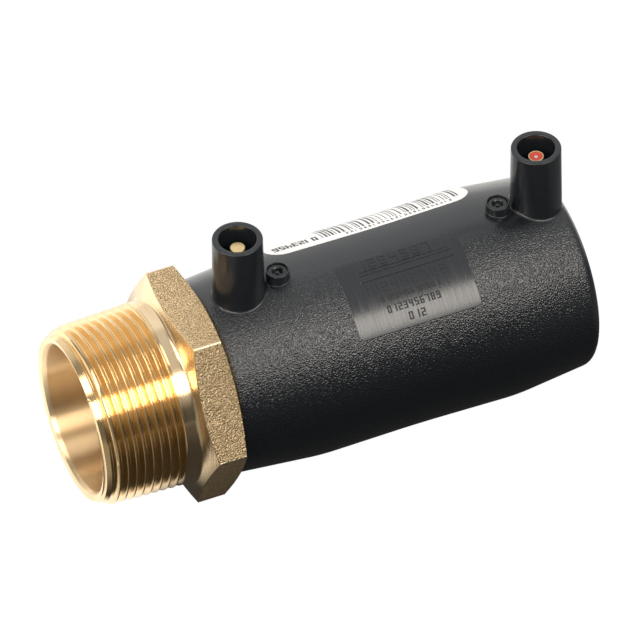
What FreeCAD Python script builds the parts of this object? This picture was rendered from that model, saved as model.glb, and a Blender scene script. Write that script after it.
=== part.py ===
import FreeCAD, Part
import math
import os

# Electrofusion male adapter: a polyethylene socket for a 40 mm pipe, welded by a buried
# heating coil, and a brass insert with a hexagon and a male taper thread.
# The pipe's axis is X, and the socket opens towards +X. The terminals stand up along +Z.
# The origin is on the axis, in the plane where the pipe's end stops.
# Sizes are in millimetres.

# Pipe socket
pipe_diameter = 40.0
pipe_clearance = 0.2
socket_depth = 49.0
socket_lead_in = 1.0
pipe_stop_width = 4.2

# Polyethylene body, outside. The barrel is narrowest at its waist, between two shoulders.
body_back = 51.0
waist_wall = 6.95
near_shoulder_swell = 0.3
near_shoulder_from_back = 24.1
far_shoulder_swell = 0.52
far_shoulder_from_mouth = 21.6
back_drop = 1.85
back_round = 2.0
mouth_drop = 1.75
mouth_round = 2.8

# Terminal shrouds, with heights from the waist
near_shroud_from_back = 3.85
far_shroud_from_mouth = 0.75
shroud_rim_rise = 17.45
shroud_floor_rise = 1.25
shroud_radius = 6.45
shroud_wall = 1.65
shroud_draft = 0.7
shroud_foot_round = 0.8
rim_chamfer = 0.35

# Terminal pins
pin_radius = 2.0
pin_below_rim = 2.9
pin_chamfer = 0.3
pin_flange_radius = 3.2
pin_flange_thickness = 1.0
pin_flange_below_floor = 1.4
pin_neck_radius = 1.6
pin_foot_radius = 1.4
pin_foot_length = 1.6
wire_hole_depth = 0.9

# Identification pin, which holds a resistor
id_sleeve_wall = 0.3
id_insert_below_sleeve = 0.15
id_contact_radius = 0.5
id_contact_length = 3.2
id_contact_below_insert = 0.3
resistor_radius = 0.9
resistor_length = 3.2
resistor_lead_radius = 0.25
resistor_lead_length = 1.2

# Fusion indicators and their wells
well_from_shroud = 1.15
well_wall = 0.5
well_rise = 2.65
well_depth = 1.5
indicator_gap = 0.1
indicator_head_radius = 2.5
indicator_head_thickness = 1.0
indicator_eye_radius = 1.35
indicator_eye_depth = 0.7
indicator_nib_radius = 0.45
indicator_nib_height = 0.35
indicator_stem_radius = 1.2
indicator_stem_length = 4.4

# Heating coil
wire_radius = 0.4
wire_cover = 0.6
lead_above_coil = 1.2
lead_bend_radius = 0.9
lead_lap = 0.2
wire_sides = 6
coil_from_stop = 9.0
coil_pitch = 3.6
coil_turns = 7

# Brass insert: taper thread, neck and hexagon
thread_gauge_radius = 23.9015
thread_gauge_length = 12.7
thread_length = 21.4
thread_taper = 1.0 / 16.0
thread_pitch = 2.309
thread_angle = 55.0
thread_flat_share = 1.0 / 6.0
thread_end_chamfer = 1.98
neck_length = 4.14
neck_round = 1.2
hexagon_across_flats = 53.7
hexagon_corner_width = 7.4
hexagon_front_cone = 18.0
hexagon_back_cone = 15.0
hexagon_back_inset = 0.35
inlet_wall = 2.426
inlet_chamfer_width = 0.63
inlet_chamfer_length = 1.42
inlet_depth = 24.0
inlet_cone_length = 3.2

# Brass insert: shank inside the body
shank_wall = 4.0
shank_tip_from_stop = 10.0
shank_tip_chamfer = 1.0
ring_section_radius = 1.3
ring_side_room = 0.2
outer_ring_from_hexagon = 5.5
ring_spacing = 6.0
barb_count = 5
barb_depth = 1.3
barb_slope_share = 0.8
first_barb_from_ring = 3.2
last_barb_from_tip = 4.3

# Label
label_from_back = 22.7
label_length = 56.4
label_edge_angle = 17.0
label_sweep_angle = 50.0
label_corner_round = 5.0
label_thickness = 0.15

# Places and radii that follow from the sizes above
socket_radius = pipe_diameter / 2 + pipe_clearance
waterway_radius = socket_radius - pipe_stop_width
waist_radius = socket_radius + waist_wall
near_shoulder_x = -body_back + near_shoulder_from_back
far_shoulder_x = socket_depth - far_shoulder_from_mouth
waist_x = (near_shoulder_x + far_shoulder_x) / 2
near_terminal_x = -body_back + near_shroud_from_back + shroud_radius
far_terminal_x = socket_depth - far_shroud_from_mouth - shroud_radius
shroud_rim_height = waist_radius + shroud_rim_rise
shroud_floor_height = waist_radius + shroud_floor_rise
well_radius = indicator_head_radius + indicator_gap
well_boss_radius = well_radius + well_wall
well_boss_top = waist_radius + well_rise
indicator_from_terminal = shroud_radius + well_from_shroud + well_boss_radius
near_indicator_x = near_terminal_x + indicator_from_terminal
far_indicator_x = far_terminal_x - indicator_from_terminal
head_bottom = well_boss_top - well_depth
head_top = head_bottom + indicator_head_thickness
eye_bottom = head_top - indicator_eye_depth
stem_end = head_bottom - indicator_stem_length
coil_radius = socket_radius + wire_cover + wire_radius
lead_height = coil_radius + lead_above_coil
flange_top = shroud_floor_height - pin_flange_below_floor
foot_top = flange_top - pin_flange_thickness
foot_end = foot_top - pin_foot_length
pin_top = shroud_rim_height - pin_below_rim
id_insert_radius = pin_radius - id_sleeve_wall
insert_top = pin_top - id_insert_below_sleeve
contact_top = insert_top - id_contact_below_insert
contact_end = contact_top - id_contact_length
resistor_top = contact_end - resistor_lead_length
resistor_bottom = resistor_top - resistor_length
core_floor = resistor_bottom - resistor_lead_length
thread_flat = thread_pitch * thread_flat_share
thread_flank = (thread_pitch - 2 * thread_flat) / 2
thread_depth = thread_flank / math.tan(math.radians(thread_angle / 2))
thread_end_radius = thread_gauge_radius - thread_gauge_length * thread_taper / 2
inlet_radius = thread_end_radius - thread_depth - inlet_wall
corner_radius = hexagon_across_flats / math.sqrt(3)
hexagon_back_radius = hexagon_across_flats / 2 - hexagon_back_inset
shank_radius = waterway_radius + shank_wall
shank_tip_x = -shank_tip_from_stop
groove_radius = shank_radius - 2 * ring_section_radius
groove_width = 2 * (ring_section_radius + ring_side_room)
outer_ring_x = -body_back + outer_ring_from_hexagon
inner_ring_x = outer_ring_x + ring_spacing
first_barb_x = inner_ring_x + first_barb_from_ring
barb_pitch = (shank_tip_x - last_barb_from_tip - first_barb_x) / barb_count

X_AXIS = FreeCAD.Vector(1, 0, 0)
Y_AXIS = FreeCAD.Vector(0, 1, 0)
Z_AXIS = FreeCAD.Vector(0, 0, 1)
ORIGIN = FreeCAD.Vector(0, 0, 0)


def rounded_edges(corners, closed):
    """Return the edges through (x, z) or (x, z, corner radius) corners in the XZ plane."""
    points = [FreeCAD.Vector(corner[0], 0, corner[1]) for corner in corners]
    edges = []
    ends = []
    for i, corner in enumerate(points):
        if len(corners[i]) < 3 or corners[i][2] == 0:
            ends.append((corner, corner))
            continue
        radius = corners[i][2]
        to_last = (points[i - 1] - corner).normalize()
        to_next = (points[(i + 1) % len(points)] - corner).normalize()
        half = to_last.getAngle(to_next) / 2
        middle = (to_last + to_next).normalize()
        centre = corner + middle * (radius / math.sin(half))
        first = corner + to_last * (radius / math.tan(half))
        last = corner + to_next * (radius / math.tan(half))
        edges.append(Part.Arc(first, centre - middle * radius, last).toShape())
        ends.append((first, last))
    for i in range(0 if closed else 1, len(ends)):
        start = ends[i - 1][1]
        if start.distanceToPoint(ends[i][0]) > 1e-6:
            edges.append(Part.LineSegment(start, ends[i][0]).toShape())
    return Part.__sortEdges__(edges)


def outline(corners):
    """Return a closed face with rounded corners in the XZ plane."""
    return Part.Face(Part.Wire(rounded_edges(corners, closed=True)))


def open_path(corners):
    """Return an open wire with rounded corners in the XZ plane."""
    return Part.Wire(rounded_edges(corners, closed=False))


def turned_on_pipe_axis(corners):
    """Revolve an outline of (x, radius) corners about the pipe's axis, seam at the bottom."""
    solid = outline(corners).revolve(ORIGIN, X_AXIS, 360)
    solid.rotate(ORIGIN, X_AXIS, 180)
    return solid


def turned_on_post(x, corners):
    """Revolve an outline of (radius, z) corners about an upright axis at x."""
    solid = outline(corners).revolve(ORIGIN, Z_AXIS, 360)
    solid.translate(FreeCAD.Vector(x, 0, 0))
    return solid


def thread_radius(distance_from_end):
    """Return the taper thread's crest radius at a distance from the brass insert's end."""
    return thread_end_radius + distance_from_end * thread_taper / 2


def thread_corners():
    """Return the taper thread's outer corners, drawn as one ring groove to each pitch."""
    corners = []
    for i in range(int((thread_length - thread_end_chamfer) / thread_pitch)):
        left = thread_end_chamfer + i * thread_pitch
        root_left = left + thread_flank
        root_right = root_left + thread_flat
        right = root_right + thread_flank
        root_radius = thread_radius((left + right) / 2) - thread_depth
        corners.append((left, thread_radius(left)))
        corners.append((root_left, root_radius))
        corners.append((root_right, root_radius))
        corners.append((right, thread_radius(right)))
    return [(thread_end_x + distance, radius) for distance, radius in corners]


# Brass insert. The hexagon's corners are cut back by two shallow cones, and its front
# one rounds into the neck.
def hexagon():
    slope_front = math.tan(math.radians(hexagon_front_cone))
    slope_back = math.tan(math.radians(hexagon_back_cone))
    back_rise = (corner_radius - hexagon_back_radius) * slope_back
    corner_back = -body_back - back_rise
    corner_front = corner_back - hexagon_corner_width
    front_rise = (corner_radius - neck_radius) * slope_front
    front = corner_front - front_rise
    neck_front = front - neck_length
    prism_points = []
    for i in range(7):
        angle = math.radians(30 + 60 * i)
        y = corner_radius * math.sin(angle)
        z = corner_radius * math.cos(angle)
        prism_points.append(FreeCAD.Vector(neck_front, y, z))
    width = -body_back - neck_front
    prism = Part.Face(Part.makePolygon(prism_points)).extrude(X_AXIS * width)
    blank = turned_on_pipe_axis([
        (-body_back, 0),
        (-body_back, hexagon_back_radius),
        (corner_back, corner_radius),
        (corner_front, corner_radius),
        (front, neck_radius, neck_round),
        (neck_front, neck_radius),
        (neck_front, 0),
    ])
    return prism.common(blank), front


neck_radius = thread_radius(thread_length)
hexagon_solid, hexagon_front_x = hexagon()
neck_front_x = hexagon_front_x - neck_length
thread_end_x = neck_front_x - thread_length


def shank_corners(with_grooves):
    """Return the shank's outer corners from the hexagon to the tip."""
    corners = [(-body_back, shank_radius)]
    if with_grooves:
        for x in (outer_ring_x, inner_ring_x):
            corners.append((x - groove_width / 2, shank_radius))
            corners.append((x - groove_width / 2, groove_radius))
            corners.append((x + groove_width / 2, groove_radius))
            corners.append((x + groove_width / 2, shank_radius))
    for i in range(barb_count):
        x = first_barb_x + i * barb_pitch
        corners.append((x, shank_radius))
        corners.append((x, shank_radius - barb_depth))
        corners.append((x + barb_pitch * barb_slope_share, shank_radius))
    corners.append((shank_tip_x - shank_tip_chamfer, shank_radius))
    corners.append((shank_tip_x, shank_radius - shank_tip_chamfer))
    return corners


def brass_adapter():
    turned = [
        (thread_end_x, 0),
        (thread_end_x, thread_end_radius - thread_end_chamfer),
    ]
    turned += thread_corners()
    turned += [
        (neck_front_x, neck_radius),
        (-body_back, neck_radius),
    ]
    turned += shank_corners(with_grooves=True)
    turned.append((shank_tip_x, 0))
    bore = turned_on_pipe_axis([
        (thread_end_x, 0),
        (thread_end_x, inlet_radius + inlet_chamfer_width),
        (thread_end_x + inlet_chamfer_length, inlet_radius),
        (thread_end_x + inlet_depth, inlet_radius),
        (thread_end_x + inlet_depth + inlet_cone_length, waterway_radius),
        (shank_tip_x, waterway_radius),
        (shank_tip_x, 0),
    ])
    return turned_on_pipe_axis(turned).fuse(hexagon_solid).cut(bore).removeSplitter()


# Rubber seal rings in the shank's grooves, squeezed flat where they seal
def seal_ring(x):
    flat = ring_section_radius * math.tan(math.radians(22.5))
    middle = shank_radius - ring_section_radius
    return turned_on_pipe_axis([
        (x - ring_section_radius, middle - flat),
        (x - flat, groove_radius),
        (x + flat, groove_radius),
        (x + ring_section_radius, middle - flat),
        (x + ring_section_radius, middle + flat),
        (x + flat, shank_radius),
        (x - flat, shank_radius),
        (x - ring_section_radius, middle + flat),
    ])


# Heating coil: the winding, and a lead from each of its ends up to a terminal pin
def winding():
    """Return the winding, its wire drawn with a few flat sides to keep it light."""
    helix = Part.makeHelix(coil_pitch, coil_turns * coil_pitch, coil_radius)
    first = helix.Edges[0]
    start = first.valueAt(first.FirstParameter)
    along = first.tangentAt(first.FirstParameter)
    across = start * (1 / start.Length)
    turn = FreeCAD.Rotation(along, 360 / wire_sides)
    corners = [start + across * wire_radius]
    for i in range(wire_sides):
        across = turn.multVec(across)
        corners.append(start + across * wire_radius)
    wound = Part.Wire(helix.Edges).makePipeShell([Part.makePolygon(corners)], True, True)
    wound.rotate(ORIGIN, Y_AXIS, 90)
    wound.rotate(ORIGIN, X_AXIS, 180)
    wound.translate(FreeCAD.Vector(coil_from_stop, 0, 0))
    return wound


def lead(coil_x, pin_x):
    """Return the lead to the pin at pin_x, which takes in the winding's end at coil_x."""
    lead_start = coil_radius - wire_radius - lead_lap
    points = [
        (coil_x, lead_start),
        (coil_x, lead_height, lead_bend_radius),
        (pin_x, lead_height, lead_bend_radius),
        (pin_x, foot_end + wire_hole_depth),
    ]
    start = FreeCAD.Vector(coil_x, 0, lead_start)
    section = Part.Wire(Part.Circle(start, Z_AXIS, wire_radius).toShape())
    return open_path(points).makePipeShell([section], True, False)


def heating_coil():
    near_lead = lead(coil_from_stop, near_terminal_x)
    far_lead = lead(coil_from_stop + coil_turns * coil_pitch, far_terminal_x)
    return winding().fuse([near_lead, far_lead])


# Terminal pins. The flange and neck hold each pin in the body, and its foot takes the wire.
def pin_root():
    """Return the outer corners of a terminal pin, up to where it leaves the shroud's floor."""
    return [
        (0, foot_end),
        (pin_foot_radius, foot_end),
        (pin_foot_radius, foot_top),
        (pin_flange_radius, foot_top),
        (pin_flange_radius, flange_top),
        (pin_neck_radius, flange_top),
        (pin_neck_radius, shroud_floor_height),
        (pin_radius, shroud_floor_height),
    ]


def pin_blank(x):
    return turned_on_post(x, pin_root() + [
        (pin_radius, pin_top - pin_chamfer),
        (pin_radius - pin_chamfer, pin_top),
        (0, pin_top),
    ])


def wire_hole(x):
    start = FreeCAD.Vector(x, 0, foot_end)
    return Part.makeCylinder(wire_radius, wire_hole_depth, start, Z_AXIS)


def terminal_pin():
    return pin_blank(near_terminal_x).cut(wire_hole(near_terminal_x))


def id_pin_sleeve():
    start = FreeCAD.Vector(far_terminal_x, 0, core_floor)
    core = Part.makeCylinder(id_insert_radius, pin_top - core_floor, start, Z_AXIS)
    sleeve = turned_on_post(far_terminal_x, pin_root() + [
        (pin_radius, pin_top),
        (0, pin_top),
    ])
    return sleeve.cut(core).cut(wire_hole(far_terminal_x))


def id_pin_contact():
    start = FreeCAD.Vector(far_terminal_x, 0, contact_end)
    return Part.makeCylinder(id_contact_radius, id_contact_length, start, Z_AXIS)


def id_resistor():
    return turned_on_post(far_terminal_x, [
        (0, core_floor),
        (resistor_lead_radius, core_floor),
        (resistor_lead_radius, resistor_bottom),
        (resistor_radius, resistor_bottom),
        (resistor_radius, resistor_top),
        (resistor_lead_radius, resistor_top),
        (resistor_lead_radius, contact_end),
        (0, contact_end),
    ])


def id_pin_insulator():
    start = FreeCAD.Vector(far_terminal_x, 0, core_floor)
    insert = Part.makeCylinder(id_insert_radius, insert_top - core_floor, start, Z_AXIS)
    eye_start = FreeCAD.Vector(far_terminal_x, 0, contact_top)
    eye = Part.makeCylinder(id_contact_radius, id_contact_below_insert, eye_start, Z_AXIS)
    return insert.cut(eye).cut(id_pin_contact()).cut(id_resistor())


# Fusion indicators: a headed pin in a well, with an eye in its head
def fusion_indicator(x):
    nib_top = eye_bottom + indicator_nib_height
    return turned_on_post(x, [
        (0, stem_end),
        (indicator_stem_radius, stem_end),
        (indicator_stem_radius, head_bottom),
        (indicator_head_radius, head_bottom),
        (indicator_head_radius, head_top),
        (indicator_eye_radius, head_top),
        (indicator_eye_radius, eye_bottom),
        (indicator_nib_radius, eye_bottom),
        (indicator_nib_radius, nib_top),
        (0, nib_top),
    ])


def indicator_well(x):
    """Return the hollow that holds an indicator, which rests on its shoulder."""
    hole_radius = indicator_stem_radius + indicator_gap
    return turned_on_post(x, [
        (0, stem_end - indicator_gap),
        (hole_radius, stem_end - indicator_gap),
        (hole_radius, head_bottom),
        (well_radius, head_bottom),
        (well_radius, well_boss_top),
        (0, well_boss_top),
    ])


# Polyethylene body
outside_corners = [
    (-body_back, waist_radius - back_drop, back_round),
    (near_shoulder_x, waist_radius + near_shoulder_swell),
    (waist_x, waist_radius),
    (far_shoulder_x, waist_radius + far_shoulder_swell),
    (socket_depth, waist_radius - mouth_drop, mouth_round),
]


def shroud_radius_at(height):
    """Return the drafted shroud's radius at a height."""
    drop = shroud_rim_height - height
    return shroud_radius + drop * math.tan(math.radians(shroud_draft))


def shroud(x):
    root = coil_radius + 2 * wire_radius
    return turned_on_post(x, [
        (0, root),
        (shroud_radius_at(root), root),
        (shroud_radius, shroud_rim_height - rim_chamfer),
        (shroud_radius - rim_chamfer, shroud_rim_height),
        (0, shroud_rim_height),
    ])


def shroud_hollow(x):
    rim_inner = shroud_radius - shroud_wall
    drop = shroud_rim_height - shroud_floor_height
    floor_radius = rim_inner - drop * math.tan(math.radians(shroud_draft))
    over = shroud_rim_height + rim_chamfer
    return turned_on_post(x, [
        (0, shroud_floor_height),
        (floor_radius, shroud_floor_height),
        (rim_inner, shroud_rim_height - rim_chamfer),
        (rim_inner + rim_chamfer, shroud_rim_height),
        (rim_inner + rim_chamfer, over),
        (0, over),
    ])


def is_foot_edge(edge, x):
    """Tell whether an edge is where a shroud at x grows out of the barrel."""
    box = edge.BoundBox
    reach = shroud_radius_at(coil_radius) + 0.5
    if abs(box.Center.x - x) > reach or box.ZMax > shroud_floor_height:
        return False
    if max(abs(box.YMin), abs(box.YMax)) > reach:
        return False
    middle = edge.valueAt((edge.FirstParameter + edge.LastParameter) / 2)
    from_post = math.hypot(middle.x - x, middle.y)
    return abs(from_post - shroud_radius_at(middle.z)) < 0.01


def body():
    barrel = turned_on_pipe_axis(
        [(-body_back, 0)] + outside_corners + [(socket_depth, 0)]
    )
    for x in (near_terminal_x, far_terminal_x):
        barrel = barrel.fuse(shroud(x))
    foot_edges = [
        edge for edge in barrel.Edges
        if is_foot_edge(edge, near_terminal_x) or is_foot_edge(edge, far_terminal_x)
    ]
    solid = barrel.makeFillet(shroud_foot_round, foot_edges)
    for x in (near_indicator_x, far_indicator_x):
        base = FreeCAD.Vector(x, 0, stem_end)
        height = well_boss_top - stem_end
        solid = solid.fuse(Part.makeCylinder(well_boss_radius, height, base, Z_AXIS))
    socket = turned_on_pipe_axis([
        (0, 0),
        (0, socket_radius),
        (socket_depth - socket_lead_in, socket_radius),
        (socket_depth, socket_radius + socket_lead_in),
        (socket_depth, 0),
    ])
    insert = turned_on_pipe_axis(
        [(-body_back, 0)] + shank_corners(with_grooves=False) + [(shank_tip_x, 0)]
    )
    waterway = turned_on_pipe_axis([
        (shank_tip_x, 0),
        (shank_tip_x, waterway_radius),
        (0, waterway_radius),
        (0, 0),
    ])
    hollows = [socket, insert, waterway, heating_coil()]
    for x in (near_terminal_x, far_terminal_x):
        hollows.append(shroud_hollow(x))
        hollows.append(pin_blank(x))
    for x in (near_indicator_x, far_indicator_x):
        hollows.append(indicator_well(x))
    for hollow in hollows:
        solid = solid.cut(hollow)
    return solid.removeSplitter()


# Label: a thin sheet that follows the barrel, with rounded corners
def barrel_shell(grow):
    """Return the barrel's outside, grown evenly."""
    corners = []
    for corner in outside_corners:
        corners.append((corner[0], corner[1] + grow) + tuple(corner[2:]))
    return turned_on_pipe_axis([(-body_back, 0)] + corners + [(socket_depth, 0)])


def label():
    sheet = barrel_shell(label_thickness).cut(barrel_shell(0))
    middle_angle = label_edge_angle + label_sweep_angle / 2
    half_sweep = math.radians(label_sweep_angle / 2)
    half_width = waist_radius * math.sin(half_sweep)
    start_x = -body_back + label_from_back
    end_x = start_x + label_length
    corners = [
        (start_x, -half_width, label_corner_round),
        (end_x, -half_width, label_corner_round),
        (end_x, half_width, label_corner_round),
        (start_x, half_width, label_corner_round),
    ]
    cutter = outline(corners).extrude(Y_AXIS * (2 * waist_radius))
    cutter.rotate(ORIGIN, X_AXIS, 90 - middle_angle)
    return sheet.common(cutter)


nodes = {
    "body": body,
    "brass_adapter": brass_adapter,
    "seal_ring_outer": lambda: seal_ring(outer_ring_x),
    "seal_ring_inner": lambda: seal_ring(inner_ring_x),
    "heating_coil": heating_coil,
    "terminal_pin": terminal_pin,
    "id_pin_sleeve": id_pin_sleeve,
    "id_pin_insulator": id_pin_insulator,
    "id_pin_contact": id_pin_contact,
    "id_resistor": id_resistor,
    "fusion_indicator_near": lambda: fusion_indicator(near_indicator_x),
    "fusion_indicator_far": lambda: fusion_indicator(far_indicator_x),
    "label": label,
}

os.makedirs("parts", exist_ok=True)
for name, make in nodes.items():
    shape = make()
    print(name, len(shape.Solids), shape.isValid(), round(shape.Volume, 2))
    shape.exportStep("parts/" + name + ".step")
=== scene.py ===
import math
import random

import bmesh
import bpy
from mathutils import Matrix, Vector


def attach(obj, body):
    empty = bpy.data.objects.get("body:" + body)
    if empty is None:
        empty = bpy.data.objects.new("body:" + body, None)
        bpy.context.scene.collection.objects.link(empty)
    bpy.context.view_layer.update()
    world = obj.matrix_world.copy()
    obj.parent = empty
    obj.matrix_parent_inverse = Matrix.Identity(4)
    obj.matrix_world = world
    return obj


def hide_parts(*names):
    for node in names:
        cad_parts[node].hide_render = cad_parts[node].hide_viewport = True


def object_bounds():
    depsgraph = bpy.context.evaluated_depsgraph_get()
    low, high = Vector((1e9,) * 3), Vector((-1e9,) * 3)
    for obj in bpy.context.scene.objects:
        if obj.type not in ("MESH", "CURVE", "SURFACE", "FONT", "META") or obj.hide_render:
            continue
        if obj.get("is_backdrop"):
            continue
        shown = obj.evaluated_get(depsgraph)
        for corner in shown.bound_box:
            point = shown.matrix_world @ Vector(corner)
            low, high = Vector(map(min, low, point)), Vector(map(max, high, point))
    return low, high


# The fitting lies along X with its thread end at -X and its terminals up along +Z.
# Shapes are worked out in millimetres, and meshes are made in metres. An angle round the
# barrel runs from the top, 0, over the front, 90, to the underside, 180.
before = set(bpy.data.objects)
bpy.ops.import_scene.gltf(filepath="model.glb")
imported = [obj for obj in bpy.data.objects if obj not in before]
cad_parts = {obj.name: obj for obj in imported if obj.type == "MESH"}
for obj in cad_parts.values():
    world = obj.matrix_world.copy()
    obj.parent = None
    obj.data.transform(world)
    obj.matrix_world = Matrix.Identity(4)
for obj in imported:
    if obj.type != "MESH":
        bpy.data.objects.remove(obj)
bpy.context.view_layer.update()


# ---- Brass insert ----
# Free-cutting brass, turned from a hot-pressed blank: a male taper pipe thread, a plain
# neck, a hexagon whose flats keep the blank's shot-blasted skin, and a barbed shank that
# the body is moulded round. Cut faces are bright, and blasted ones dull and grainy.
def srgb(code):
    """Return a hex colour as the linear values that a shader takes."""
    channels = [int(code[i:i + 2], 16) / 255 for i in (1, 3, 5)]
    linear = [c / 12.92 if c <= 0.04045 else ((c + 0.055) / 1.055) ** 2.4 for c in channels]
    return (*linear, 1.0)


def add(tree, kind, inputs=None, **settings):
    """Add a shader node with its settings, fed by values, sockets or whole nodes."""
    node = tree.nodes.new("ShaderNode" + kind)
    for name, value in settings.items():
        setattr(node, name, value)
    for name, value in (inputs or {}).items():
        if isinstance(value, bpy.types.Node):
            value = next(socket for socket in value.outputs if socket.enabled)
        if isinstance(value, bpy.types.NodeSocket):
            tree.links.new(value, node.inputs[name])
        else:
            node.inputs[name].default_value = value
    return node


def begin_finish(name):
    """Return a new material, its empty tree and its coordinates in millimetres."""
    finish = bpy.data.materials.new(name)
    finish.use_nodes = True
    tree = finish.node_tree
    tree.nodes.clear()
    metres = add(tree, "TexCoord").outputs["Object"]
    mm = add(tree, "VectorMath", {0: metres, "Scale": 1000.0}, operation="SCALE")
    return finish, tree, mm


def turned_brass(name, light, dark, feed, spread, rough):
    """Turned brass: feed lines run round the axis and draw each glint out along it.

    Feed is the lines to a millimetre. Real ones are about twice as fine, and these are as
    coarse as they need to show. Spread is how far a glint is drawn out.
    """
    finish, tree, mm = begin_finish(name)
    x = add(tree, "SeparateXYZ", {0: mm}).outputs["X"]
    off_axis = add(tree, "VectorMath", {0: mm, 1: (0, 1, 1)}, operation="MULTIPLY")
    radius = add(tree, "VectorMath", {0: off_axis}, operation="LENGTH")
    lines = add(tree, "CombineXYZ", {"X": x, "Y": radius})
    cut = add(tree, "TexNoise", {"Vector": lines, "Scale": feed, "Detail": 3.0,
                                 "Roughness": 0.65})
    stain = add(tree, "TexNoise", {"Vector": mm, "Scale": 0.12, "Detail": 3.0})
    share = add(tree, "MapRange", {"Value": stain, "From Min": 0.35, "From Max": 0.7})
    tone = add(tree, "Mix", {0: share, 6: srgb(light), 7: srgb(dark)}, data_type="RGBA")
    gloss = add(tree, "MapRange", {"Value": cut, "From Min": 0.3, "From Max": 0.75,
                                   "To Min": rough, "To Max": rough + 0.1})
    dents = add(tree, "Bump", {"Height": cut, "Distance": 0.00003})
    around = add(tree, "Tangent", direction_type="RADIAL", axis="X")
    shader = add(tree, "BsdfPrincipled", {
        "Base Color": tone, "Metallic": 1.0, "Roughness": gloss, "Normal": dents,
        "Anisotropic": spread, "Anisotropic Rotation": 0.25, "Tangent": around})
    add(tree, "OutputMaterial", {"Surface": shader})
    return finish


def blasted_brass():
    """Shot-blasted brass: pits about 0.4 mm across, pale rims, and painted shade inside."""
    finish, tree, mm = begin_finish("shot-blasted brass")
    pits = add(tree, "TexNoise", {"Vector": mm, "Scale": 2.6, "Detail": 1.2,
                                  "Roughness": 0.5})
    # The pits' height sets the colour too: painted shade darkens their hollows and leaves
    # their rims pale.
    share = add(tree, "MapRange", {"Value": pits, "From Min": 0.3, "From Max": 0.7})
    tone = add(tree, "Mix", {0: share, 6: srgb("#B0936A"), 7: srgb("#F6DBB0")},
               data_type="RGBA")
    # The corners between the flats, 30.9 mm from the axis, are rubbed smooth and painted
    # bright.
    off_axis = add(tree, "VectorMath", {0: mm, 1: (0, 1, 1)}, operation="MULTIPLY")
    radius = add(tree, "VectorMath", {0: off_axis}, operation="LENGTH")
    rubbed_and_highlit = add(tree, "MapRange", {"Value": radius, "From Min": 30.72, "From Max": 30.86})
    # The pale colour along the corners is a painted highlight. The smoother gloss and flatter
    # relief are real.
    tone = add(tree, "Mix", {0: rubbed_and_highlit, 6: tone, 7: srgb("#F4DEB4")}, data_type="RGBA")
    gloss = add(tree, "MapRange", {"Value": rubbed_and_highlit, "To Min": 0.42, "To Max": 0.3})
    relief = add(tree, "MapRange", {"Value": rubbed_and_highlit, "To Min": 1.0, "To Max": 0.2})
    dents = add(tree, "Bump", {"Height": pits, "Strength": relief, "Distance": 0.0009})
    shader = add(tree, "BsdfPrincipled", {
        "Base Color": tone, "Metallic": 1.0, "Roughness": gloss, "Normal": dents})
    add(tree, "OutputMaterial", {"Surface": shader})
    return finish


def rounded(corners, steps):
    """Return points through (x, y) or (x, y, corner radius) corners."""
    points = []
    for i, corner in enumerate(corners):
        here = Vector(corner[:2])
        if len(corner) < 3:
            points.append(tuple(here))
            continue
        to_last = (Vector(corners[i - 1][:2]) - here).normalized()
        to_next = (Vector(corners[(i + 1) % len(corners)][:2]) - here).normalized()
        half = to_last.angle(to_next) / 2
        centre = here + (to_last + to_next).normalized() * (corner[2] / math.sin(half))
        first = here + to_last * (corner[2] / math.tan(half)) - centre
        last = here + to_next * (corner[2] / math.tan(half)) - centre
        sweep = first.angle_signed(last)
        for k in range(steps + 1):
            points.append(tuple(centre + Matrix.Rotation(-sweep * k / steps, 2) @ first))
    return points


def about_axis(x, radius, angle):
    """Return the point at x, a radius from the pipe's axis, an angle forward of the top."""
    return (x, -radius * math.sin(angle), radius * math.cos(angle))


def ring_x(x, radius, count):
    """Return a ring of points about the pipe's axis, from the top over the front."""
    return [about_axis(x, radius, math.tau * k / count) for k in range(count)]


class Shell:
    """Gathers points and faces in millimetres, and makes one piece of them."""

    def __init__(self):
        self.points = []
        self.faces = []
        self.slots = []

    def face(self, points, slot=0):
        """Add one face with its own points."""
        start = len(self.points)
        self.points += points
        self.faces.append(tuple(range(start, start + len(points))))
        self.slots.append(slot)

    def rings(self, rings, slots=0, closed=False):
        """Join equal rings in turn. Slots is one material slot, or one for each gap."""
        start = len(self.points)
        count = len(rings[0])
        for ring in rings:
            self.points += ring
        for i in range(len(rings) if closed else len(rings) - 1):
            a = start + i * count
            b = start + (i + 1) % len(rings) * count
            for k in range(count):
                n = (k + 1) % count
                self.faces.append((a + k, a + n, b + n, b + k))
                self.slots.append(slots if isinstance(slots, int) else slots[i])

    def build(self, name, finishes, weld=0.0005, sharp=32):
        """Weld the points, turn the faces outwards and let the piece ride."""
        mesh = bpy.data.meshes.new(name)
        mesh.from_pydata([Vector(point) / 1000 for point in self.points], [], self.faces)
        for finish in finishes:
            mesh.materials.append(finish)
        mesh.polygons.foreach_set("material_index", self.slots)
        welded = bmesh.new()
        welded.from_mesh(mesh)
        bmesh.ops.remove_doubles(welded, verts=welded.verts, dist=weld / 1000)
        bmesh.ops.recalc_face_normals(welded, faces=welded.faces)
        welded.to_mesh(mesh)
        welded.free()
        mesh.shade_smooth()
        mesh.set_sharp_from_angle(angle=math.radians(sharp))
        piece = bpy.data.objects.new(name, mesh)
        bpy.context.scene.collection.objects.link(piece)
        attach(piece, "root")
        return piece


# The thread is a 55 degree V with rounded crests and roots, 11 to the inch, and widens
# by 1 in 16. Its rows of points follow the helix, and it runs out before the neck. The end
# is chamfered, and for half a turn the chamfer shows where the tool first cut in.
CUT, BLASTED, BORED, TURNED = range(4)
end_x = -87.366
neck_x = -64.9
neck_end_x = -62.8
hexagon_x = -61.826
rear_x = -51.0
neck_radius = 24.173
pitch = 2.309
taper = 1 / 16
gauge_radius = 23.9015
gauge_length = 12.7
crest_round = 0.2
root_round = 0.26
run_out_length = 1.6
nose_radius = 21.53
nose_slope = math.tan(math.radians(30))
entry_depth = 0.5
entry_half_width = 0.4
steps_round = 288

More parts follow.
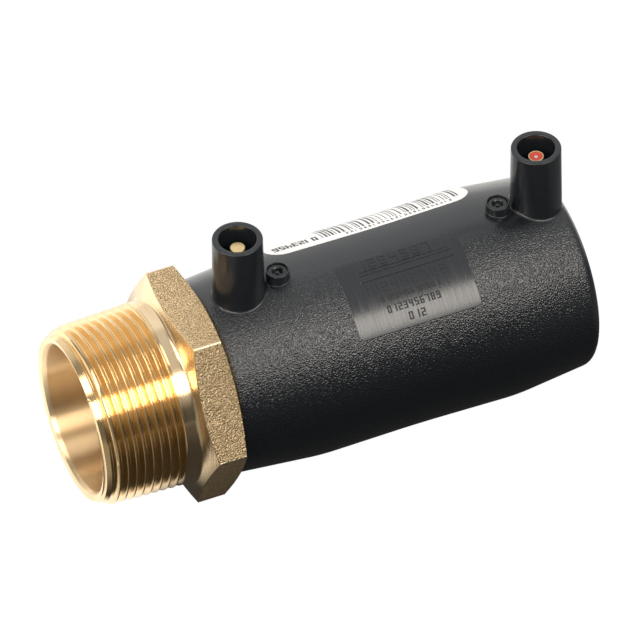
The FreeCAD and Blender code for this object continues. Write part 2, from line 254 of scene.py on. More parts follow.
# A sharp V would be 0.9605 pitches deep, and a round takes 1.166 of its radius off that.
depth = 0.9605 * pitch - 1.166 * (crest_round + root_round)
arc = math.radians(90 - 55 / 2)
# Half of one pitch's profile, as (distance from the crest, depth), down to the root
half_thread = [(crest_round * math.sin(arc * k / 3), crest_round * (1 - math.cos(arc * k / 3)))
               for k in range(4)]
half_thread += [(pitch / 2 - root_round * math.sin(arc * k / 3),
                 depth - root_round * (1 - math.cos(arc * k / 3))) for k in (3, 2, 1, 0)]
s0, d0 = half_thread[3]
s1, d1 = half_thread[4]
half_thread[4:4] = [(s0 + (s1 - s0) * k / 3, d0 + (d1 - d0) * k / 3) for k in (1, 2)]
stations = half_thread[:-1] + [(pitch - s, d) for s, d in half_thread[:0:-1]]
first_crest = end_x + 0.75


def thread_point(x, turn):
    """Return x, kept on the thread, and the radius there at a share of a turn."""
    x = min(max(x, end_x), neck_x)
    place = abs((x - first_crest - pitch * turn + pitch / 2) % pitch - pitch / 2)
    low = next(p for p in reversed(half_thread) if p[0] <= place + 1e-9)
    high = next((p for p in half_thread if p[0] > place), half_thread[-1])
    share = (place - low[0]) / max(high[0] - low[0], 1e-9)
    cut = low[1] + (high[1] - low[1]) * share
    run_out = min(1.0, max(0.0, (neck_x - x) / run_out_length))
    crest = min(neck_radius, gauge_radius + (x - end_x - gauge_length) * taper / 2)
    entry = 0.0
    if 0.1 < turn < 0.6:
        groove_x = first_crest - pitch / 2 + pitch * turn
        entry = entry_depth * max(0.0, 1 - ((x - groove_x) / entry_half_width) ** 2)
    nose_cone = nose_radius + (x - end_x) * nose_slope - entry
    return x, min(crest - cut * run_out, nose_cone)


insert = Shell()
rows = []
for i in range(-2, int((neck_x - end_x) / pitch) + 3):
    for s, _ in stations:
        row = []
        for k in range(steps_round):
            turn = k / steps_round
            x, radius = thread_point(first_crest + (i + turn) * pitch + s, turn)
            row.append(about_axis(x, radius, math.tau * turn))
        rows.append(row)
# At the seam each row meets the row one turn further on.
seam = len(stations)
for j in range(len(rows) - 1):
    for k in range(steps_round - 1):
        insert.face([rows[j][k], rows[j][k + 1], rows[j + 1][k + 1], rows[j + 1][k]])
    if j < len(rows) - 1 - seam:
        insert.face([rows[j][-1], rows[j + seam][0], rows[j + seam + 1][0], rows[j + 1][-1]])

# The end face, the bore with its wider inlet, and the shank, plain here as nothing shows it
inlet_radius = 19.6
waterway_radius = 16.0
shank_radius = 20.0
shank_end_x = -10.0
end_ring = [about_axis(*thread_point(end_x, k / steps_round), math.tau * k / steps_round)
            for k in range(steps_round)]
inner = rounded([
    (end_x, inlet_radius + 0.63, 0.1), (end_x + 1.42, inlet_radius, 0.2),
    (end_x + 24.0, inlet_radius), (end_x + 27.2, waterway_radius),
    (shank_end_x, waterway_radius), (shank_end_x, shank_radius - 1.0),
    (shank_end_x - 1.0, shank_radius), (rear_x, shank_radius), (rear_x, 24.0),
], 3)
inner_rings = [end_ring] + [ring_x(x, radius, steps_round) for x, radius in inner[1:]]
inner_slots = [BORED if ring[0][0] > end_x + 0.01 else CUT for ring in inner_rings]
insert.rings(inner_rings, inner_slots)

# The hexagon is 53.7 mm over its flats, with a shallow cone in front and behind.
half_flats = 26.85
corner_bend = 0.45
front_slope = math.tan(math.radians(18))
rear_slope = math.tan(math.radians(15))
rear_face_radius = 26.5


def flat_radius(angle):
    """Return the hexagon's radius at an angle, with its corners just broken."""
    off = abs((angle + math.pi / 6) % (math.pi / 3) - math.pi / 6)
    from_corner = math.pi / 6 - off
    centre = (half_flats - corner_bend) / math.cos(math.pi / 6)
    limit = math.atan2(corner_bend * 0.5, centre + corner_bend * math.cos(math.pi / 6))
    if from_corner > limit:
        return half_flats / math.cos(off)
    reach = centre * math.cos(from_corner)
    return reach + math.sqrt(corner_bend ** 2 - (centre * math.sin(from_corner)) ** 2)


# Each column runs from the neck, through the round at its end, over one line of the
# hexagon and down its rear cone. On the neck the columns ease into their own angles.
side_steps = steps_round // 6
columns = []
for side in range(6):
    for k in range(side_steps):
        even = math.pi / 6 + math.tau * (side * side_steps + k) / steps_round
        eased = 0.5 - 0.5 * math.cos(math.pi * k / side_steps)
        eased = 0.85 * eased + 0.15 * k / side_steps
        angle = math.pi / 6 + math.pi / 3 * (side + eased)
        reach = flat_radius(angle)
        front = hexagon_x + (reach - neck_radius) * front_slope
        rear = rear_x - (reach - rear_face_radius) * rear_slope
        section = [(neck_x + (neck_end_x - neck_x) * j / 8, neck_radius, j / 8)
                   for j in range(9)]
        section += [(x, radius, 1.0) for x, radius in rounded([
            (neck_end_x, neck_radius - 0.05), (hexagon_x, neck_radius - 0.05, 1.2),
            (front, reach, 0.2), (rear, reach, 0.2), (rear_x, rear_face_radius),
            (rear_x, 24.0)], 6)]
        columns.append([about_axis(x, radius, even + (angle - even) * share)
                        for x, radius, share in section])
bands = [list(ring) for ring in zip(*columns)]
# The seven blasted bands are the flats and the round behind them.
insert.rings(bands, [TURNED] * 23 + [BLASTED] * 7 + [TURNED] * 2)
# The thread is cut bright and the bore is left duller, with its light drawn out along it.
# The neck and the cones are turned clean.
brass = insert.build("brass_insert", [
    turned_brass("thread-cut brass", "#F4D5A4", "#EDCA93", 5.0, 0.3, 0.07), blasted_brass(),
    turned_brass("bored brass", "#F5DDB4", "#F0D2A6", 5.0, 1.0, 0.3),
    turned_brass("turned brass", "#F4DAB2", "#EDCEA0", 7.0, 0.3, 0.1)], weld=0.002)
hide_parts("brass_adapter")


# ---- Seal rings and heating coil ----
# Two moulded rubber rings sit in the shank's grooves, and a coil of bare resistance wire
# lies just under the socket's bore. All are buried in the body, so the solids stay.
def speckled(name, light, dark, metallic, rough, grain, relief):
    """Return a finish with a fine mottle: grain is its speckles to a millimetre.

    The mottle breaks up the colour and the gloss a little, so that a plain surface doesn't
    look painted. Relief is its height in millimetres.
    """
    finish, tree, mm = begin_finish(name)
    mottle = add(tree, "TexNoise", {"Vector": mm, "Scale": grain, "Detail": 3.0,
                                    "Roughness": 0.6})
    share = add(tree, "MapRange", {"Value": mottle, "From Min": 0.35, "From Max": 0.7})
    tone = add(tree, "Mix", {0: share, 6: srgb(light), 7: srgb(dark)}, data_type="RGBA")
    gloss = add(tree, "MapRange", {"Value": mottle, "From Min": 0.2, "From Max": 0.8,
                                   "To Min": rough - 0.05, "To Max": rough + 0.07})
    dents = add(tree, "Bump", {"Height": mottle, "Distance": relief / 1000})
    shader = add(tree, "BsdfPrincipled", {
        "Base Color": tone, "Metallic": metallic, "Roughness": gloss, "Normal": dents})
    add(tree, "OutputMaterial", {"Surface": shader})
    return finish


def dress(names, finish):
    """Give solids that keep their own shapes a finish."""
    for name in names:
        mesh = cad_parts[name].data
        mesh.materials.clear()
        mesh.materials.append(finish)


# Moulded rubber is dull all over. Drawn wire has a soft gleam.
dress(["seal_ring_outer", "seal_ring_inner"],
      speckled("moulded rubber", "#242425", "#1C1C1D", 0.0, 0.6, 2.0, 0.02))
dress(["heating_coil"],
      speckled("drawn resistance wire", "#BDAC96", "#A8947B", 1.0, 0.32, 4.0, 0.01))


# ---- Terminal pins ----
# Turned brass pins, 4 mm thick, moulded in by a flange. The near one is solid. The far
# one is a sleeve, with a red insert in it and the resistor's contact in the middle.
def ring_z(x, radius, z, count):
    """Return a level ring of points about an upright axis at x."""
    return [(x + radius * math.cos(math.tau * k / count),
             radius * math.sin(math.tau * k / count), z) for k in range(count)]


def turned_post(name, x, outline, finish, node):
    """Turn an outline of (radius, z) points about an upright axis, in place of a node."""
    post = Shell()
    post.rings([ring_z(x, radius, z, 64) for radius, z in outline])
    piece = post.build(name, [finish])
    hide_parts(node)


near_terminal = -40.7
far_terminal = 41.8
pin_radius = 2.0
pin_top = 41.7
sleeve_bore = 1.7
contact_radius = 0.5
# An outline starts and ends this far from its axis, so that each end closes to a dot.
near_axis = 0.001
pin_foot = [(near_axis, 24.4), (1.4, 24.4), (1.4, 26.0), (3.2, 26.0), (3.2, 27.0),
            (1.6, 27.0), (1.6, 28.4), (pin_radius, 28.4)]
# Turned on a fine feed, the pins have an even satin shine.
pin_brass = speckled("fine-turned pin brass", "#F6DDAA", "#EDCF92", 1.0, 0.36, 2.5, 0.008)
turned_post("near_pin", near_terminal, pin_foot + rounded([
    (pin_radius, 28.5), (pin_radius, pin_top, 0.28), (near_axis, pin_top)], 5),
    pin_brass, "terminal_pin")
turned_post("far_pin_sleeve", far_terminal, pin_foot + rounded([
    (pin_radius, 28.5), (pin_radius, pin_top, 0.08), (sleeve_bore, pin_top, 0.06),
    (sleeve_bore, 32.45), (near_axis, 32.45)], 3), pin_brass, "id_pin_sleeve")
# Moulded polyamide is satin, and tin plate is pale and dull. Dipped enamel is glossy.
turned_post("far_pin_insert", far_terminal, rounded([
    (near_axis, 32.5), (1.69, 32.5), (1.69, 41.55, 0.1), (contact_radius, 41.55, 0.08),
    (contact_radius, 41.2), (near_axis, 41.2)], 3),
    speckled("moulded red polyamide", "#CE4838", "#B93A2B", 0.0, 0.38, 1.5, 0.01),
    "id_pin_insulator")
turned_post("far_pin_contact", far_terminal, rounded([
    (near_axis, 38.05), (contact_radius, 38.05), (contact_radius, 41.5, 0.12),
    (near_axis, 41.5)], 3),
    speckled("tin-plated contact", "#F1EFEA", "#E4E1DA", 1.0, 0.5, 4.0, 0.005),
    "id_pin_contact")
dress(["id_resistor"],
      speckled("dipped resistor enamel", "#C9B48C", "#BCA57B", 0.0, 0.3, 2.0, 0.01))


# ---- Moulded body ----
# One injection moulding of black polyethylene: a barrel with the pipe's socket in it, a
# shroud round each pin and two small wells. The mould gave it a fine spark-eroded grain,
# but for the top, the mouth's rounding, the shrouds and a brushed panel on the front.
def share_between(tree, value, low, high, soft):
    """Return the share, from 0 to 1, of a value lying between two limits."""
    rise = add(tree, "MapRange", {"Value": value, "From Min": low - soft,
                                  "From Max": low + soft})
    fall = add(tree, "MapRange", {"Value": value, "From Min": high + soft,
                                  "From Max": high - soft})
    return add(tree, "Math", {0: rise, 1: fall}, operation="MULTIPLY")


# The panel's middle, the reach of its straight sides from there, and its corners' radius
panel_middle_x = 0.55
panel_middle_arc = 13.34
panel_reach_x = 15.55
panel_reach_arc = 9.45
panel_corner = 1.36
arc_per_degree = 0.4765
rule_angles = ((13.4, 14.0), (15.4, 16.0), (19.2, 20.0))


def barrel_skin():
    """Black polyethylene: grains about 0.35 mm apart, each with its own small glint.

    The panel has straight sides and slightly rounded corners. Strokes round the barrel
    brushed it, and they show as streaks in its gloss. Real strokes are finer than these,
    which are as coarse as they need to show.
    """
    finish, tree, mm = begin_finish("spark-eroded black polyethylene")
    parts = add(tree, "SeparateXYZ", {0: mm})
    x = parts.outputs["X"]
    forward = add(tree, "Math", {0: parts.outputs["Y"], 1: -1.0}, operation="MULTIPLY")
    turn = add(tree, "Math", {0: forward, 1: parts.outputs["Z"]}, operation="ARCTAN2")
    angle = add(tree, "Math", {0: turn}, operation="DEGREES")
    fray = add(tree, "TexNoise", {"Vector": mm, "Scale": 1.6, "Detail": 2.0})
    from_middle = add(tree, "Math", {0: x, 1: panel_middle_x}, operation="SUBTRACT")
    past_end = add(tree, "Math", {0: from_middle}, operation="ABSOLUTE")
    past_end = add(tree, "Math", {0: past_end, 1: panel_reach_x}, operation="SUBTRACT")
    arc_length = add(tree, "Math", {0: angle, 1: arc_per_degree, 2: -panel_middle_arc},
                     operation="MULTIPLY_ADD")
    past_side = add(tree, "Math", {0: arc_length}, operation="ABSOLUTE")
    past_side = add(tree, "Math", {0: past_side, 1: panel_reach_arc}, operation="SUBTRACT")
    past_both = add(tree, "CombineXYZ", {"X": past_end, "Y": past_side})
    past_both = add(tree, "VectorMath", {0: past_both, 1: (0, 0, 0)}, operation="MAXIMUM")
    outside = add(tree, "VectorMath", {0: past_both}, operation="LENGTH")
    outside = add(tree, "Math", {0: fray, 1: 0.25, 2: outside}, operation="MULTIPLY_ADD")
    panel = add(tree, "MapRange", {"Value": outside, "From Min": panel_corner + 0.06,
                                   "From Max": panel_corner - 0.06})
    frayed_angle = add(tree, "Math", {0: fray, 1: 3.0, 2: angle}, operation="MULTIPLY_ADD")
    # The smooth band's front edge runs from 1 degree near the thread to 17 at the mouth.
    edge = add(tree, "MapRange", {"Value": x, "From Min": -30.0, "From Max": 45.0,
                                  "To Min": 1.0, "To Max": 17.0})
    past_edge = add(tree, "Math", {0: frayed_angle, 1: edge}, operation="SUBTRACT")
    band = share_between(tree, past_edge, -70.0, 2.0, 2.5)
    mouth = add(tree, "MapRange", {"Value": x, "From Min": 46.4, "From Max": 47.4})
    smooth = add(tree, "Math", {0: panel, 1: band}, operation="MAXIMUM")
    smooth = add(tree, "Math", {0: smooth, 1: mouth}, operation="MAXIMUM")
    rough_share = add(tree, "Math", {0: 1.0, 1: smooth}, operation="SUBTRACT")

    grain = add(tree, "TexNoise", {"Vector": mm, "Scale": 2.9, "Detail": 0.5,
                                   "Roughness": 0.5})
    faint = add(tree, "Math", {0: rough_share, 1: 0.96, 2: 0.04}, operation="MULTIPLY_ADD")
    height = add(tree, "Math", {0: grain, 1: faint}, operation="MULTIPLY")
    strokes = add(tree, "VectorMath", {0: mm, 1: (2.6, 0.1, 0.1)}, operation="MULTIPLY")
    brushed = add(tree, "TexNoise", {"Vector": strokes, "Scale": 1.0, "Detail": 2.0,
                                     "Roughness": 0.6})
    # The panel stands a little proud, and three raised rules cross it.
    height = add(tree, "Math", {0: panel, 1: 0.8, 2: height}, operation="MULTIPLY_ADD")
    for low, high in rule_angles:
        rule = share_between(tree, angle, low, high, 0.15)
        length = share_between(tree, x, -11.0, 14.5, 0.2)
        rule = add(tree, "Math", {0: rule, 1: length}, operation="MULTIPLY")
        height = add(tree, "Math", {0: rule, 1: 1.2, 2: height}, operation="MULTIPLY_ADD")
    # The grain's tone varies, and the raised grains are painted lighter: a painted highlight
    # on top of their glints.
    tone = add(tree, "Mix", {0: grain, 6: srgb("#05090E"), 7: srgb("#0F141A")},
               data_type="RGBA")
    gloss = add(tree, "MapRange", {"Value": grain, "From Min": 0.4, "From Max": 0.6,
                                   "To Min": 0.29, "To Max": 0.13})
    streak = add(tree, "MapRange", {"Value": brushed, "From Min": 0.3, "From Max": 0.7,
                                    "To Min": 0.17, "To Max": 0.32})
    gloss = add(tree, "Mix", {0: panel, 2: gloss, 3: streak}, data_type="FLOAT")
    dents = add(tree, "Bump", {"Height": height, "Distance": 0.0002})
    # An index above polyethylene's own 1.54 gives the strong sheen of the real skin.
    shader = add(tree, "BsdfPrincipled", {
        "Base Color": tone, "Roughness": gloss, "IOR": 1.72, "Normal": dents})
    add(tree, "OutputMaterial", {"Surface": shader})
    return finish


def shroud_skin():
    """Black polyethylene off polished steel: smooth, with a slight waviness in its gloss."""
    finish, tree, mm = begin_finish("smooth black polyethylene")
    waves = add(tree, "TexNoise", {"Vector": mm, "Scale": 0.9, "Detail": 3.0,
                                   "Roughness": 0.6})
    tone = add(tree, "Mix", {0: waves, 6: srgb("#15181C"), 7: srgb("#1F2226")},
               data_type="RGBA")
    gloss = add(tree, "MapRange", {"Value": waves, "From Min": 0.2, "From Max": 0.8,
                                   "To Min": 0.2, "To Max": 0.28})
    dents = add(tree, "Bump", {"Height": waves, "Distance": 0.00003})
    shader = add(tree, "BsdfPrincipled", {
        "Base Color": tone, "Roughness": gloss, "IOR": 1.54, "Normal": dents})
    add(tree, "OutputMaterial", {"Surface": shader})
    return finish


# The outline goes from the hexagon over the outside, slimmest at its waist, to the mouth,
# and back along the socket, the pipe's stop and the brass shank.
GRAINED, SMOOTH, ETCHED = range(3)
mouth_x = 49.0
socket_depth = 48.0
socket_radius = 20.2
outside_from = 22.7
barrel_outline = rounded([
    (rear_x, 25.3, 2.0), (-26.9, 27.45, 70.0), (0.25, 27.15, 400.0), (27.4, 27.67, 60.0),
    (mouth_x, 25.4, 2.8), (mouth_x, socket_radius + 1.0, 0.15),
    (socket_depth, socket_radius), (0.0, socket_radius), (0.0, waterway_radius, 0.2),
    (shank_end_x, waterway_radius), (shank_end_x, shank_radius), (rear_x, shank_radius),
], 8)
barrel_outside = [point for point in barrel_outline if point[1] > outside_from]


def barrel_radius(x):
    """Return the barrel's outside radius at x."""
    x = min(max(x, barrel_outside[0][0]), barrel_outside[-1][0])
    for (x0, r0), (x1, r1) in zip(barrel_outside, barrel_outside[1:]):
        if x0 <= x <= x1:
            return r0 + (r1 - r0) * (x - x0) / max(x1 - x0, 1e-9)


def foot(post_x, post_radius, blend, count):
    """Return rings of a post's foot, flared into the barrel, from the post outwards."""
    foot_columns = []
    for k in range(count):
        along = math.cos(math.tau * k / count)
        across = math.sin(math.tau * k / count)

        def height(s):
            radius = barrel_radius(post_x + s * along)
            return math.sqrt(radius * radius - (s * across) ** 2)

        # Where the flare meets the barrel hangs on the slope there, so it is found in rounds.
        s = post_radius
        for _ in range(30):
            slope = (height(s + 0.02) - height(s - 0.02)) / 0.04
            s = post_radius + blend + blend * slope / math.hypot(1, slope)
        centre_z = height(s) + blend / math.hypot(1, slope)
        last = math.atan2(-1.0, slope)
        column = []
        for j in range(9):
            t = -math.pi + (last + math.pi) * j / 8
            column.append((post_radius + blend + blend * math.cos(t),
                           centre_z + blend * math.sin(t)))
        # The flare's last ring dips just under the barrel's skin.
        column.append((s + 0.12, height(s + 0.12) - 0.03))
        foot_columns.append([(post_x + radius * along, radius * across, z)
                             for radius, z in column])
    return [list(ring) for ring in zip(*foot_columns)]


moulding = Shell()
barrel_slots = [GRAINED if min(r0, r1) > outside_from else SMOOTH for (_, r0), (_, r1) in
                zip(barrel_outline, barrel_outline[1:] + barrel_outline[:1])]
moulding.rings([ring_x(x, radius, 256) for x, radius in barrel_outline], barrel_slots,
               closed=True)

# The shrouds widen by 0.7 degrees down to their feet, which lie about 27 mm off the axis.
shroud_radius = 6.45
shroud_bore = 4.8
shroud_top = 44.6
shroud_floor = 28.4
draft = math.tan(math.radians(0.7))
for x in (near_terminal, far_terminal):
    wall = rounded([
        (shroud_radius + (shroud_top - 30.0) * draft, 30.0),
        (shroud_radius, shroud_top, 0.32), (shroud_bore, shroud_top, 0.32),
        (shroud_bore - (shroud_top - shroud_floor) * draft, shroud_floor, 0.3),
        (1.0, shroud_floor)], 5)
    moulding.rings([ring_z(x, radius, z, 96) for radius, z in reversed(wall)]
                   + foot(x, shroud_radius + (shroud_top - 27.0) * draft, 0.8, 96), SMOOTH)

near_well = -30.0
far_well = 31.1
well_radius = 3.1
well_bore = 2.6
well_top = 29.8
well_floor = 28.3
for x in (near_well, far_well):
    wall = rounded([
        (well_radius, 29.0), (well_radius, well_top, 0.2), (well_bore, well_top, 0.15),
        (well_bore, well_floor), (1.0, well_floor)], 4)
    moulding.rings([ring_z(x, radius, z, 64) for radius, z in reversed(wall)]
                   + foot(x, well_radius, 0.25, 64), SMOOTH)

# Plain raised digits fill the panel, each made of seven strokes at most. The larger rows
# share the panel's gloss, and the others are etched all over.
rows_middle_x = 0.5
digit_strokes = {"0": "abcdef", "1": "bc", "2": "abged", "3": "abgcd", "4": "fgbc",
                 "5": "afgcd", "6": "afgedc", "7": "abc", "8": "abcdefg", "9": "abcdfg"}
panel_radius = 27.3


def digit_boxes(digit, left, right, low, height, weight):
    """Return (x0, x1, low, high) for each stroke. Left may lie at the higher x."""
    side = math.copysign(height * weight, right - left)
    stroke = height * weight
    top = low + height
    middle = low + height / 2
    boxes = {
        "a": (left, right, low, low + stroke),
        "d": (left, right, top - stroke, top),
        "g": (left, right, middle - stroke / 2, middle + stroke / 2),
        "f": (left, left + side, low, middle), "e": (left, left + side, middle, top),
        "b": (right - side, right, low, middle), "c": (right - side, right, middle, top),
    }
    return [boxes[name] for name in digit_strokes[digit]]


def on_barrel(x, along, lift):
    """Return the point at x, an arc length forward of the top, lifted off the barrel."""
    return about_axis(x, barrel_radius(x) + lift, along / panel_radius)


# A row is its digits, its angle round the barrel, its height, its step and its finish.
for row, middle_angle, height, advance, top_slot in (
        ("1234567", 9.3, 2.6, 3.0, GRAINED), ("123456789", 25.2, 2.6, 2.7, GRAINED),
        ("012345678901", 32.0, 1.4, 1.4, ETCHED), ("0123456789", 38.2, 2.0, 1.5, ETCHED),
        ("012", 44.7, 2.1, 1.7, ETCHED)):
    low = math.radians(middle_angle) * panel_radius - height / 2
    for i, digit in enumerate(row):
        left = rows_middle_x + (i - len(row) / 2) * advance
        right = left + advance * 0.68
        for x0, x1, a, b in digit_boxes(digit, left, right, low, height, 0.17):
            sunk, raised = [[on_barrel(x0, a, lift), on_barrel(x1, a, lift),
                             on_barrel(x1, b, lift), on_barrel(x0, b, lift)]
                            for lift in (-0.05, 0.1)]
            moulding.rings([sunk, raised], ETCHED)
            moulding.face(raised, top_slot)
# Etched polyethylene is dull, so the digits stay dark where the panel mirrors the light.
body = moulding.build("moulded_body", [
    barrel_skin(), shroud_skin(),
    speckled("etched black polyethylene", "#0D0F11", "#15171A", 0.0, 0.55, 2.0, 0.02)])
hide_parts("body")


# ---- Fusion indicators ----
# A small headed pin of dark moulded polypropylene stands in each well, with an eye in its
# head and a nib in the eye. It rises once, when the melt pushes on its stem.
stem_radius = 1.2
stem_end = 23.9
head_radius = 2.5
head_top = 29.35
eye_radius = 1.3
eye_floor = 28.35
nib_radius = 0.45
nib_top = 28.95
# Moulded polypropylene is glossy enough for the rim to catch the light.
indicator_plastic = speckled("moulded dark polypropylene", "#212427", "#17191C", 0.0, 0.22,
                             2.0, 0.01)
for name, x in (("near", near_well), ("far", far_well)):
    turned_post("indicator_" + name, x, rounded([
        (near_axis, stem_end), (stem_radius, stem_end), (stem_radius, well_floor),
        (head_radius, well_floor), (head_radius, head_top, 0.12), (1.6, head_top, 0.05),
        (eye_radius, 29.1, 0.05), (eye_radius, eye_floor), (nib_radius, eye_floor),
        (nib_radius, nib_top, 0.1), (near_axis, nib_top)], 4), indicator_plastic,
        "fusion_indicator_" + name)


# ---- Label ----
# A white polypropylene film with round corners, stuck on behind the top. Plain bars and
# plain rows of digits are printed on it by heat transfer, and they read from behind.
label_x = (-28.3, 28.1)
label_angles = (17.0, 67.0)
label_radius = 27.15
label_width = math.radians(label_angles[1] - label_angles[0]) * label_radius


def on_label(x, across, lift):
    """Return the point at x, a distance across the label from its top edge."""
    angle = math.radians(label_angles[0]) + across / label_radius
    return about_axis(x, barrel_radius(x) + lift, -angle)


# The film's outline is a row of x from end to end, each with its inset from the long edges.
film_back = 0.005
film_front = 0.12
corner = 5.0
outline = []
for k in range(13):
    a = math.pi / 2 * k / 12
    outline.append((label_x[0] + corner * (1 - math.cos(a)), corner * (1 - math.sin(a))))
outline += [(label_x[0] + corner + (label_x[1] - label_x[0] - 2 * corner) * k / 40, 0.0)
            for k in range(1, 40)]
for k in range(13):
    a = math.pi / 2 * k / 12
    outline.append((label_x[1] - corner * (1 - math.sin(a)), corner * (1 - math.cos(a))))
loops = []
for x, inset in outline:
    steps = [inset + (label_width - 2 * inset) * k / 32 for k in range(33)]
    loops.append([on_label(x, across, film_front) for across in steps]
                 + [on_label(x, across, film_back) for across in reversed(steps)])
film = Shell()
film.rings(loops)
film.face(loops[0])
film.face(loops[-1])
# Coated film is white with a satin sheen.
sheet = film.build("label_film", [
    speckled("coated white polypropylene film", "#FDFDFC", "#F6F6F4", 0.0, 0.36, 0.8, 0.01)])
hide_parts("label")

printing = Shell()
ink_lift = 0.135


def print_patch(x0, x1, low, high):
    """Print a rectangle on the film, in steps short enough to follow its bend."""
    steps = math.ceil((high - low) / 0.8)
    for k in range(steps):
        a = low + (high - low) * k / steps
        b = low + (high - low) * (k + 1) / steps
        printing.face([on_label(x0, a, ink_lift), on_label(x1, a, ink_lift),
                       on_label(x1, b, ink_lift), on_label(x0, b, ink_lift)])


def print_digits(text, x, low, height, advance):
    """Print plain digits in strokes. They read from behind, so they run towards -X."""
    for i, digit in enumerate(text):
        left = x - i * advance
        for box in digit_boxes(digit, left, left - height * 0.55, low, height, 0.2):
            print_patch(*box)


# The bars and their gaps are drawn at random, so they state nothing.
chooser = random.Random(7)
bars_low, bars_high = 2.6, 13.0
bars_end_x = -13.0
x = 25.0
while x > bars_end_x:
    wide = chooser.choice((0.25, 0.25, 0.4, 0.6))
    print_patch(x - wide, x, bars_low, bars_high)
    x -= wide + chooser.choice((0.4, 0.6, 1.0))
print_digits("012345678901234567890123", 22.5, 0.9, 1.2, 1.25)
print_digits("0123456", -14.0, 2.4, 2.8, 1.8)
print_digits("24680", 20.0, 15.5, 3.2, 2.6)
print_digits("13579", -4.0, 15.5, 3.2, 2.6)
print_digits("40", -18.6, 15.0, 4.2, 3.3)
# Ink off a thermal ribbon is a soft black, duller than the film.
marks = printing.build("label_print", [
    speckled("heat-transferred black ink", "#424244", "#38383A", 0.0, 0.45, 2.0, 0.005)],
    sharp=60)


# ---- Camera ----
# A long lens looks down on the front of the fitting, from the thread's side. The point of
# the axis just behind the hexagon's front edge has a known place in the picture, and the
# camera is moved sideways until it falls there.
azimuth = math.radians(-22.9366)
elevation = math.radians(43.3115)
roll = math.radians(-0.9629)
distance = 2500.0
pixels_per_mm = 3.93871
picture_width = 638
known_point = Vector((-60.1, 0, 0))
pixels_right = 170.302 - picture_width / 2
pixels_down = 388.861 - picture_width / 2
back = Vector((math.sin(azimuth) * math.cos(elevation),
               -math.cos(azimuth) * math.cos(elevation), math.sin(elevation)))
level = (-back).cross(Vector((0, 0, 1))).normalized()
steep = level.cross(-back)
right = math.cos(roll) * level + math.sin(roll) * steep
up = math.cos(roll) * steep - math.sin(roll) * level
spot = (back * distance - right * pixels_right / pixels_per_mm
        + up * pixels_down / pixels_per_mm + known_point)
camera_data = bpy.data.cameras.new("camera")
camera_data.sensor_width = 36.0
camera_data.lens = pixels_per_mm * distance * camera_data.sensor_width / picture_width
camera_data.clip_start = 0.5
camera_data.clip_end = 20.0
camera = bpy.data.objects.new("camera", camera_data)
camera.matrix_world = Matrix.Translation(spot / 1000) @ Matrix(
    (right, up, back)).transposed().to_4x4()
bpy.context.scene.collection.objects.link(camera)
bpy.context.scene.camera = camera
bpy.context.scene.view_settings.view_transform = "Standard"


# ---- Studio ----
# Three soft boxes in a row hang in front and two overhead to the left. The backdrop behind
# is white, the ceiling grey, and the room in front of the table dark, with a screen on each
# side. The camera itself sees plain white.
world = bpy.data.worlds.new("studio")
bpy.context.scene.world = world
world.use_nodes = True
tree = world.node_tree
tree.nodes.clear()
parts = add(tree, "SeparateXYZ", {0: add(tree, "TexCoord").outputs["Generated"]})

# The ceiling brightens from left to right. It lights the upper barrel and the flats.
across = add(tree, "MapRange", {"Value": parts.outputs["X"], "From Min": -0.6,
                                "From Max": 0.4, "To Min": 0.32, "To Max": 0.75})
overhead = add(tree, "MapRange", {"Value": parts.outputs["Z"], "From Min": 0.25,
                                  "From Max": 0.6})
ceiling = add(tree, "Math", {0: across, 1: overhead}, operation="MULTIPLY")
# The backdrop ends towards the left.
behind = add(tree, "MapRange", {"Value": parts.outputs["Y"], "From Min": 0.2,
                                "From Max": 0.6})
not_left = add(tree, "MapRange", {"Value": parts.outputs["X"], "From Min": -0.7,
                                  "From Max": -0.35, "To Min": 0.1, "To Max": 1.0})
backdrop = add(tree, "Math", {0: behind, 1: not_left}, operation="MULTIPLY")
# The room is dark all round, and a little lighter on the left.
room = add(tree, "MapRange", {"Value": parts.outputs["X"], "From Min": -0.3,
                              "From Max": -0.6, "To Min": 0.08, "To Max": 0.17})
# A low white screen stands far to the left, in the back half.
low_down = add(tree, "MapRange", {"Value": parts.outputs["Z"], "From Min": 0.35,
                                  "From Max": 0.2, "To Min": 0.0, "To Max": 1.2})
far_left = add(tree, "MapRange", {"Value": parts.outputs["X"], "From Min": -0.7,
                                  "From Max": -0.85})
back_half = add(tree, "MapRange", {"Value": parts.outputs["Y"], "From Min": -0.15,
                                   "From Max": 0.15})
left_screen = add(tree, "Math", {0: low_down, 1: far_left}, operation="MULTIPLY")
left_screen = add(tree, "Math", {0: left_screen, 1: back_half}, operation="MULTIPLY")
# A grey screen stands on the right, dimmer near the table.
to_right = add(tree, "MapRange", {"Value": parts.outputs["X"], "From Min": 0.32,
                                  "From Max": 0.6, "To Min": 0.0, "To Max": 0.6})
above_table = add(tree, "MapRange", {"Value": parts.outputs["Z"], "From Min": 0.08,
                                     "From Max": 0.35, "To Min": 0.3, "To Max": 1.0})
right_screen = add(tree, "Math", {0: to_right, 1: above_table}, operation="MULTIPLY")

level_of_light = ceiling
for part in (backdrop, room, left_screen, right_screen):
    level_of_light = add(tree, "Math", {0: level_of_light, 1: part}, operation="MAXIMUM")
seen = add(tree, "LightPath").outputs["Is Camera Ray"]
strength = add(tree, "Mix", {0: seen, 2: level_of_light, 3: 1.0}, data_type="FLOAT")
sky = add(tree, "Background", {"Color": (1, 1, 1, 1), "Strength": strength})
add(tree, "OutputWorld", {"Surface": sky})

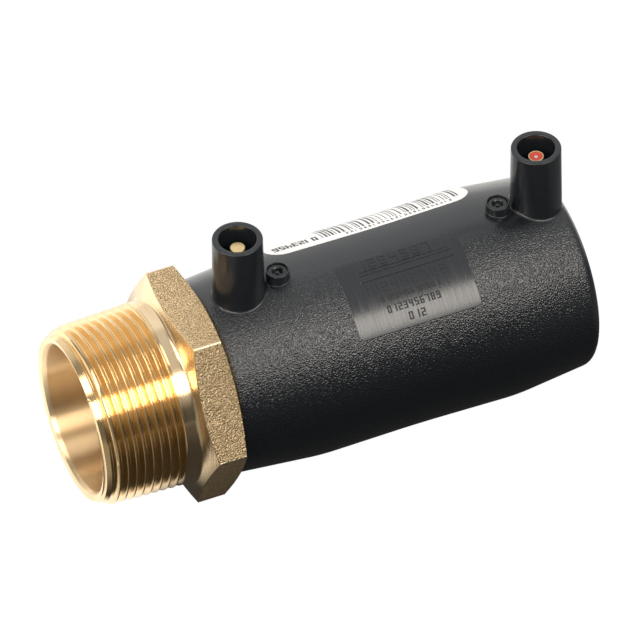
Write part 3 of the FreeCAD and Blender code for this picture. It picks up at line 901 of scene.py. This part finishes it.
# Each soft box has its place and size in metres, and its radiance. All are turned towards
# the line of the pipe's axis.
for name, place, wide, deep, radiance in (
        ("front_soft_box", (0.52, -0.70, 0.78), 0.84, 0.44, 5.2),
        ("front_middle_soft_box", (-0.20, -0.70, 0.78), 0.6, 0.44, 1.8),
        ("front_left_soft_box", (-1.20, -0.70, 0.78), 1.4, 0.44, 6.5),
        ("left_soft_box", (-0.65, 0.0, 1.05), 0.7, 0.50, 2.4),
        ("far_left_soft_box", (-2.40, 0.0, 1.05), 2.8, 0.50, 5.0)):
    lamp = bpy.data.lights.new(name, "AREA")
    lamp.shape = "RECTANGLE"
    lamp.color = srgb("#FFF8EE")[:3]
    lamp.size = wide
    lamp.size_y = deep
    lamp.energy = radiance * math.pi * wide * deep
    soft_box = bpy.data.objects.new(name, lamp)
    soft_box.location = place
    soft_box.rotation_euler = (math.atan2(-place[1], place[2]), 0.0, 0.0)
    bpy.context.scene.collection.objects.link(soft_box)

# The table's white top is painted light: it glows as it would under those lights, bright
# beside the thread and far behind, dim in front, and dim under the moulded body and just
# behind it as a painted shadow. It lies just under the barrel.
table_z = -0.02775
table_half = 3.0
finish, tree, mm = begin_finish("white laminate with painted light")
parts = add(tree, "SeparateXYZ", {0: mm})
left_side = add(tree, "MapRange", {"Value": parts.outputs["X"], "From Min": -66.0,
                                   "From Max": -80.0, "To Min": 0.0, "To Max": 1.0})
far_side = add(tree, "MapRange", {"Value": parts.outputs["Y"], "From Min": 30.0,
                                  "From Max": 90.0})
in_front = add(tree, "MapRange", {"Value": parts.outputs["Y"], "From Min": -13.0,
                                  "From Max": -19.0, "To Min": 1.0, "To Max": 0.0})
# The body's painted shadow: the glow stays dim under it and up to 30 mm behind it.
bright = add(tree, "Math", {0: left_side, 1: in_front}, operation="MULTIPLY")
bright = add(tree, "Math", {0: bright, 1: far_side}, operation="MAXIMUM")
far_in_front = add(tree, "MapRange", {"Value": parts.outputs["Y"], "From Min": -70.0,
                                      "From Max": -140.0, "To Min": 0.05, "To Max": 0.1})
past_end = add(tree, "MapRange", {"Value": parts.outputs["X"], "From Min": -88.0,
                                  "From Max": -105.0, "To Min": 0.0, "To Max": 0.32})
dim = add(tree, "Math", {0: far_in_front, 1: past_end}, operation="MAXIMUM")
past_mouth = add(tree, "MapRange", {"Value": parts.outputs["X"], "From Min": 60.0,
                                    "From Max": 110.0, "To Min": 0.0, "To Max": 0.2})
dim = add(tree, "Math", {0: dim, 1: past_mouth}, operation="MAXIMUM")
glow = add(tree, "Math", {0: bright, 1: 1.2, 2: dim}, operation="MULTIPLY_ADD")
painted_glow = add(tree, "Emission", {"Color": srgb("#FFFDF8"), "Strength": glow})
white = add(tree, "Emission", {"Color": (1, 1, 1, 1), "Strength": 1.0})
seen = add(tree, "LightPath").outputs["Is Camera Ray"]
table_top = add(tree, "MixShader", {0: seen, 1: painted_glow, 2: white})
add(tree, "OutputMaterial", {"Surface": table_top})
mesh = bpy.data.meshes.new("table")
mesh.from_pydata([(-table_half, -table_half, table_z), (table_half, -table_half, table_z),
                  (table_half, table_half, table_z), (-table_half, table_half, table_z)],
                 [], [(0, 1, 2, 3)])
mesh.materials.append(finish)
table = bpy.data.objects.new("table", mesh)
bpy.context.scene.collection.objects.link(table)
table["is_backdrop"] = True

low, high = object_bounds()
